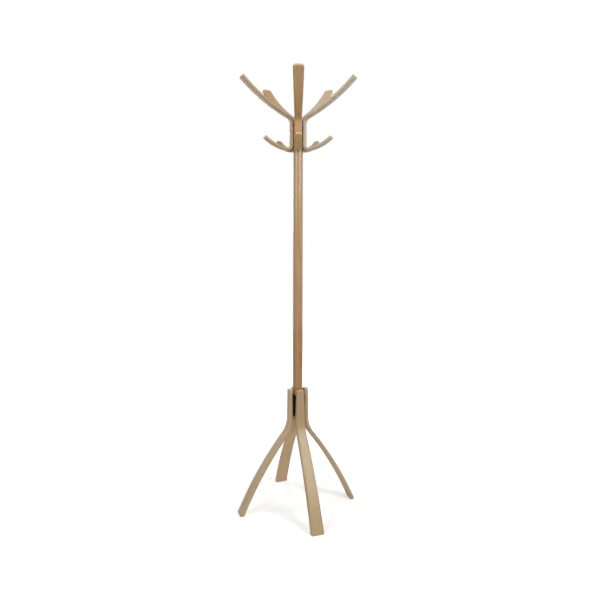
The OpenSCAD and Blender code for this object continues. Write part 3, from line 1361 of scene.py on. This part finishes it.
@dataclass
class Dowels:
    """Glued, fluted dowels behind the hooks or the legs, two on each seat."""

    node: str
    radius: float
    length: float
    azimuths: np.ndarray
    seat: float
    board: str = "#d2b48a"
    flutes: int = 16
    flute_columns: int = 6
    flute_depth: float = 0.25 * MM
    chamfer: float = 0.8 * MM

    def dowel(self) -> Surface:
        """Makes one dowel along X, centred on the seat.

        Formula: the radius at angle t is the dowel's radius less the flute's depth times
        cos(flutes x t), where that is above 0; it shrinks by the chamfer at both ends.

        Returns:
            The dowel, with the marks that its finish reads.
        """
        angle = np.linspace(0, 2 * math.pi, self.flutes * self.flute_columns, endpoint=False)
        fluted = self.radius - self.flute_depth * np.clip(np.cos(self.flutes * angle), 0, 1)
        half = self.length / 2
        height = np.array([-half, -half, self.chamfer - half, half - self.chamfer, half, half])
        shrink = np.array([0, 1, 0, 0, 1, 0])[:, None] * self.chamfer
        dowel = lathe((fluted - shrink) * np.array([0, 1, 1, 1, 1, 0])[:, None], height)
        count = len(dowel.points)
        dowel.marks = {
            "grain": dowel.points[:, [2, 0, 1]],
            "arris": np.zeros(count),
            "end_grain": (np.abs(dowel.points[:, 2]) > half - MM / 10).astype(float),
            "board": board_colour(count, self.board),
        }
        return dowel.moved(Matrix.Rotation(math.pi / 2, 4, "Y"))

    def build(self, shop: Workshop) -> None:
        """Makes all dowels of the node as one piece of separate solids.

        Args:
            shop: makes the pieces.
        """
        dowel = self.dowel()
        low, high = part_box(self.node)
        parts = [
            dowel.moved(around(azimuth) @ Matrix.Translation((self.seat, 0, height)))
            for azimuth in self.azimuths
            for height in (low.z + self.radius, high.z - self.radius)
        ]
        shop.make(f"{self.node}_fluted", joined(parts), Slot.DOWEL_BEECH, self.node)


@dataclass
class PoleScrew:
    """The socket-head bolt, its washer and the threaded insert that hold the pole down."""

    thread_pitch: float = 1.25 * MM
    thread_depth: float = 0.5 * MM
    thread_length: float = 28 * MM
    head_height: float = 8 * MM
    socket: float = 3 * MM
    socket_depth: float = 4 * MM
    head_rim: tuple[float, float] = (0.8 * MM, 0.7 * MM)
    neck_rim: tuple[float, float] = (0.4 * MM, 0.3 * MM)
    knurls: int = 30
    knurl_depth: float = 0.15 * MM
    knurl_fade: float = 0.1 * MM
    shank: float = 4 * MM
    hole: float = 4.5 * MM
    washer_edge: float = 0.3 * MM
    columns: int = 60
    rows_per_turn: int = 8
    insert_pitch: float = 3 * MM
    insert_thread: float = 1 * MM

    def thread(
        self, radius: float, depth: float, pitch: float, low: float, high: float
    ) -> tuple[np.ndarray, np.ndarray]:
        """Lays out a threaded stretch.

        Formula: at height z and angle t the radius lies below the outer one by depth times a
        triangle wave of z / pitch - t / turn, which is a helix; it fades in at both ends.

        Args:
            radius: outer radius of the thread.
            depth: depth of the thread.
            pitch: height of one turn.
            low: height of its lower end.
            high: height of its upper end.

        Returns:
            (rows, columns), the radius at each row and angle, and (rows,), the heights.
        """
        rows = int((high - low) / pitch * self.rows_per_turn)
        height = np.linspace(low, high, rows)
        angle = np.linspace(0, 1, self.columns, endpoint=False)
        phase = (height[:, None] / pitch - angle[None, :]) % 1
        wave = np.abs(2 * phase - 1)
        fade = np.clip(np.minimum(height - low, high - height) / pitch, 0, 1)[:, None]
        return radius - depth * (wave * fade + (1 - fade)), height

    def bolt(self) -> Surface:
        """Makes the bolt: knurled head, hexagonal socket, plain shank and thread.

        Formula: the socket's side lies at socket / cos(angle from the middle of its side), and the
        knurls are a cosine round the head.

        Returns:
            The bolt in its place.
        """
        low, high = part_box("pole_bolt")
        head = (high.x - low.x) / 2
        angle = np.linspace(0, 2 * math.pi, self.columns, endpoint=False)
        sixth = math.pi / 3
        hexagon = self.socket / np.cos((angle + sixth / 2) % sixth - sixth / 2)
        knurled = head - self.knurl_depth * (0.5 + 0.5 * np.cos(self.knurls * angle))
        ones = np.ones_like(angle)
        neck = low.z + self.head_height
        thread_from = high.z - self.thread_length
        rows = [
            (0 * ones, low.z + self.socket_depth),
            (hexagon, low.z + self.socket_depth),
            (hexagon, low.z),
            ((head - self.head_rim[0]) * ones, low.z),
            (knurled - self.knurl_fade, low.z + self.head_rim[1]),
            (knurled, neck - self.neck_rim[1]),
            ((head - self.neck_rim[0]) * ones, neck),
            (self.shank * ones, neck),
            (self.shank * ones, thread_from - MM),
        ]
        radius, height = self.thread(
            self.shank, self.thread_depth, self.thread_pitch, thread_from, high.z
        )
        radius = np.concatenate([np.stack([r for r, _ in rows]), radius, [0 * ones]])
        height = np.concatenate([[z for _, z in rows], height, [high.z]])
        return lathe(radius, height)

    def washer(self) -> Surface:
        """Makes the washer as a ring with softened edges.

        Returns:
            The washer in its place.
        """
        low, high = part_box("bolt_washer")
        outer, soft = (high.x - low.x) / 2, self.washer_edge
        rows = np.array(
            [
                [self.hole, low.z + soft],
                [self.hole + soft, low.z],
                [outer - soft, low.z],
                [outer, low.z + soft],
                [outer, high.z - soft],
                [outer - soft, high.z],
                [self.hole + soft, high.z],
                [self.hole, high.z - soft],
            ]
        )
        return lathe(np.repeat(rows[:, :1], self.columns, axis=1), rows[:, 1], closed=True)

    def insert(self) -> Surface:
        """Makes the insert: a coarse wood thread outside, and a plain bore for the bolt.

        Returns:
            The insert in its place.
        """
        low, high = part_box("pole_insert")
        outer = (high.x - low.x) / 2
        radius, height = self.thread(outer, self.insert_thread, self.insert_pitch, low.z, high.z)
        radius = np.concatenate([radius, np.full((2, self.columns), self.shank)])
        height = np.concatenate([height, [high.z, low.z]])
        return lathe(radius, height, closed=True)

    def build(self, shop: Workshop) -> None:
        """Makes the three pieces.

        Args:
            shop: makes the pieces.
        """
        shop.make("pole_bolt_threaded", self.bolt(), Slot.ZINC_STEEL, "pole_bolt")
        shop.make("bolt_washer_ring", self.washer(), Slot.ZINC_STEEL, "bolt_washer")
        shop.make("pole_insert_threaded", self.insert(), Slot.INSERT_BRASS, "pole_insert")


# ------------------------------------------------------------------ studio


@dataclass(frozen=True)
class Softbox:
    """An oblong lamp that points at the stand's axis and doesn't show to the camera."""

    name: str
    azimuth_deg: float
    elevation_deg: float
    power: float
    wide: float = 1.0
    high: float = 1.0
    distance: float = 2.8
    aim_height: float = 0.9

    def build(self) -> None:
        """Hangs the lamp and turns it to its aim."""
        data = bpy.data.lights.new(self.name, "AREA")
        data.shape = "RECTANGLE"
        data.size, data.size_y = self.wide, self.high
        data.energy = self.power
        lamp = bpy.data.objects.new(self.name, data)
        azimuth, elevation = math.radians(self.azimuth_deg), math.radians(self.elevation_deg)
        aim = Vector((0, 0, self.aim_height))
        out = Vector(
            (
                math.cos(elevation) * math.cos(azimuth),
                math.cos(elevation) * math.sin(azimuth),
                math.sin(elevation),
            )
        )
        lamp.location = aim + self.distance * out
        lamp.rotation_euler = (-out).to_track_quat("-Z", "Y").to_euler()
        lamp.visible_camera = False
        bpy.context.scene.collection.objects.link(lamp)


@dataclass
class Studio:
    """The camera, the lamps, the pale surroundings and the floor."""

    lens: float = 34.24
    sensor_width: float = 36
    camera_distance: float = 2.272
    camera_height: float = 1.1752
    camera_azimuth_deg: float = -90.342
    camera_heading_deg: float = -0.565
    camera_pitch_deg: float = 7.576
    camera_roll_deg: float = 0.131
    floor_radius: float = 4.0
    shadow_reach: float = 0.4
    white_from: float = 2.0
    floor_lift: float = 0.42
    softboxes: tuple[Softbox, ...] = (
        Softbox("right_key", -42, 31, 48, wide=1.2, high=2.2),
        Softbox("left_key", -132, 25, 26, wide=1.0, high=1.9),
        Softbox("left_high_fill", -165, 60, 18),
        Softbox("front_low_fill", -100, 6, 4, aim_height=0.25),
        Softbox("right_back_fill", 30, 38, 14),
        Softbox("low_back_light", 105, 14, 18),
    )

    def camera(self) -> None:
        """Sets up the camera in front of the stand, at about two thirds of its height."""
        data = bpy.data.cameras.new("camera")
        data.sensor_width = self.sensor_width
        data.lens = self.lens
        camera = bpy.data.objects.new("camera", data)
        azimuth = math.radians(self.camera_azimuth_deg)
        place = Matrix.Translation(
            (
                self.camera_distance * math.cos(azimuth),
                self.camera_distance * math.sin(azimuth),
                self.camera_height,
            )
        )
        heading = Matrix.Rotation(math.radians(self.camera_heading_deg), 4, "Z")
        pitch = Matrix.Rotation(math.radians(90 - self.camera_pitch_deg), 4, "X")
        roll = Matrix.Rotation(math.radians(self.camera_roll_deg), 4, "Z")
        camera.matrix_world = place @ heading @ pitch @ roll
        bpy.context.scene.collection.objects.link(camera)
        bpy.context.scene.camera = camera

    def world(self) -> None:
        """Surrounds the stand with white that is seen, mirrored and seen through, but lights nothing."""
        world = bpy.data.worlds.new("studio")
        world.use_nodes = True
        tree = world.node_tree
        tree.nodes.clear()
        path = add_node(tree, "LightPath", {})
        seen = add_node(
            tree,
            "Math",
            {0: path.outputs["Is Camera Ray"], 1: path.outputs["Is Glossy Ray"]},
            operation="MAXIMUM",
        )
        seen = add_node(
            tree,
            "Math",
            {0: seen.outputs[0], 1: path.outputs["Is Transmission Ray"]},
            operation="MAXIMUM",
        )
        white = add_node(
            tree, "Background", {"Color": linear("#ffffff"), "Strength": seen.outputs[0]}
        )
        add_node(tree, "OutputWorld", {"Surface": white.outputs[0]})
        bpy.context.scene.world = world

    def floor(self) -> None:
        """Lays a round white matt floor, lifted to pure white for the camera away from the stand.

        Formula: the lift is floor_lift within shadow_reach of the axis, where the stand's shadow
        lies, and rises smoothly to 1 at white_from, so that the floor's edge doesn't show.
        """
        turn = np.linspace(0, 2 * math.pi, 96, endpoint=False)
        rim = self.floor_radius * np.stack([np.cos(turn), np.sin(turn), 0 * turn], axis=-1)
        mesh = bpy.data.meshes.new("floor")
        mesh.from_pydata(rim.tolist(), [], [tuple(range(len(rim)))])
        floor = bpy.data.objects.new("floor", mesh)
        bpy.context.scene.collection.objects.link(floor)
        material, tree = new_material("white_matt_floor")
        path = add_node(tree, "LightPath", {})
        place = add_node(tree, "TexCoord", {}).outputs["Object"]
        away = add_node(tree, "VectorMath", {0: place}, operation="LENGTH")
        lift = add_node(
            tree,
            "MapRange",
            {
                "Value": away.outputs["Value"],
                "From Min": self.shadow_reach,
                "From Max": self.white_from,
                "To Min": self.floor_lift,
                "To Max": 1.0,
            },
            interpolation_type="SMOOTHSTEP",
        )
        seen = add_node(
            tree,
            "Math",
            {0: lift.outputs[0], 1: path.outputs["Is Camera Ray"]},
            operation="MULTIPLY",
        )
        shader = add_node(
            tree,
            "BsdfPrincipled",
            {
                "Base Color": linear("#f8f8f8"),
                "Roughness": 0.9,
                "Emission Color": linear("#ffffff"),
                "Emission Strength": seen.outputs[0],
            },
        )
        add_node(tree, "OutputMaterial", {"Surface": shader.outputs[0]})
        mesh.materials.append(material)

    def build(self) -> None:
        """Sets up the whole studio."""
        bpy.context.scene.view_settings.view_transform = "Standard"
        self.camera()
        self.world()
        self.floor()
        for softbox in self.softboxes:
            softbox.build()


def main() -> None:
    """Builds the studio and every piece of the stand, in order."""
    logging.basicConfig(level=logging.INFO, format="%(name)s: %(message)s")
    Studio().build()
    shop = Workshop()
    hooks, legs = HookRing(), LegSet()
    Pole().build(shop)
    hooks.build(shop)
    legs.build(shop)
    Hub().build(shop)
    Dowels(
        node="hook_dowels",
        radius=3 * MM,
        length=16 * MM,
        azimuths=evenly(len(hooks.names)),
        seat=-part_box(hooks.names[0])[1].y,
    ).build(shop)
    Dowels(
        node="leg_dowels",
        radius=4 * MM,
        length=20 * MM,
        azimuths=evenly(len(legs.names), legs.turn_deg),
        seat=legs.seat,
    ).build(shop)
    PoleScrew().build(shop)


if __name__ == "__main__":
    main()
